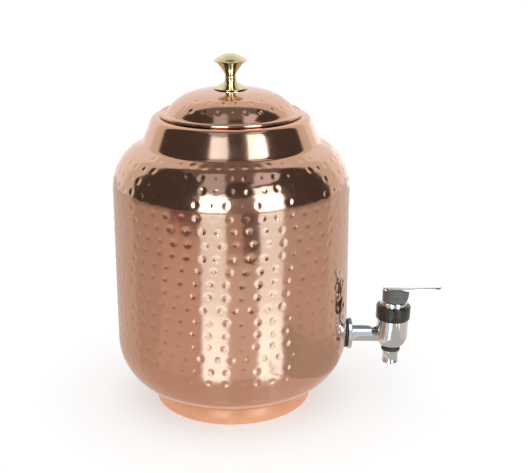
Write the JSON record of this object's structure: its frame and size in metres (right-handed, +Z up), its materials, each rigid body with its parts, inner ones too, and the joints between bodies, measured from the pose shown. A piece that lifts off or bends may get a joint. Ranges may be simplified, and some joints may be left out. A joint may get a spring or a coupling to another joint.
{
  "type": "copper water dispenser pot",
  "caption": "Hammered copper water pot on a foot ring, with a smooth collar, a domed lift-off lid with a turned brass knob, and a chromed lever tap that shuts by a spring.",
  "frame": {"origin": "on the table, at the middle of the whole object's footprint box: the pot's own axis is 46.2 mm from it towards -X, because the tap stands out at +X", "axes": "+Z up along the pot's axis, +X from the pot towards the tap, +Y to the right of someone who stands facing the tap"},
  "size_m": [0.3131, 0.2206, 0.3327],
  "materials": {
    "polished_copper": "polished and hammered copper",
    "satin_copper": "plain satin copper",
    "brass": "turned and polished brass",
    "chrome": "bright chrome plate on brass",
    "steel": "plain stainless steel",
    "black_plastic": "glossy black moulded plastic",
    "grey_plastic": "satin dark grey moulded plastic",
    "rubber": "black rubber",
    "silicone": "milky silicone rubber"
  },
  "bodies": {
    "pot": {"pot_shell": "polished_copper", "foot_ring": "satin_copper", "outer_gasket": "rubber", "tap_flange": "chrome", "tap_shank": "chrome", "inner_gasket": "rubber", "inner_washer": "steel", "lock_nut": "steel", "tap_body": "chrome", "outlet_spout": "chrome", "bonnet_seal": "rubber", "bonnet_cap": "chrome", "bonnet_ring": "black_plastic", "stem_o_ring": "rubber", "spring_washer": "steel", "return_spring": "steel"},
    "valve": {"stem": "steel", "valve_plug": "silicone"},
    "lever": {"cam_block": "grey_plastic", "lever_blade": "chrome", "lever_pin": "steel"},
    "lid": {"lid_shell": "polished_copper", "lid_locating_ring": "polished_copper", "lid_knob": "brass", "knob_screw": "steel", "knob_washer": "steel"}
  },
  "joints": [
    {"name": "valve_lift", "type": "slide", "parent": "pot", "child": "valve", "axis": [0.0297, 0, 0.9996], "range_m": [0, 0.00349], "stiffness_N_per_m": 1500, "springref_m": -0.0015, "deforming": ["return_spring"]},
    {"name": "lever_tilt", "type": "hinge", "parent": "valve", "child": "lever", "pos_m": [0.11084, 0, 0.09972], "axis": [0, 1, 0], "range_deg": [0, 25]},
    {"name": "lid_lift", "type": "slide", "parent": "pot", "child": "lid", "axis": [0, 0, 1], "range_m": [0, 0.15]}
  ],
  "couplings": [
    {"joint": "lever_tilt", "follows": "valve_lift", "rad_per_m": 125}
  ]
}
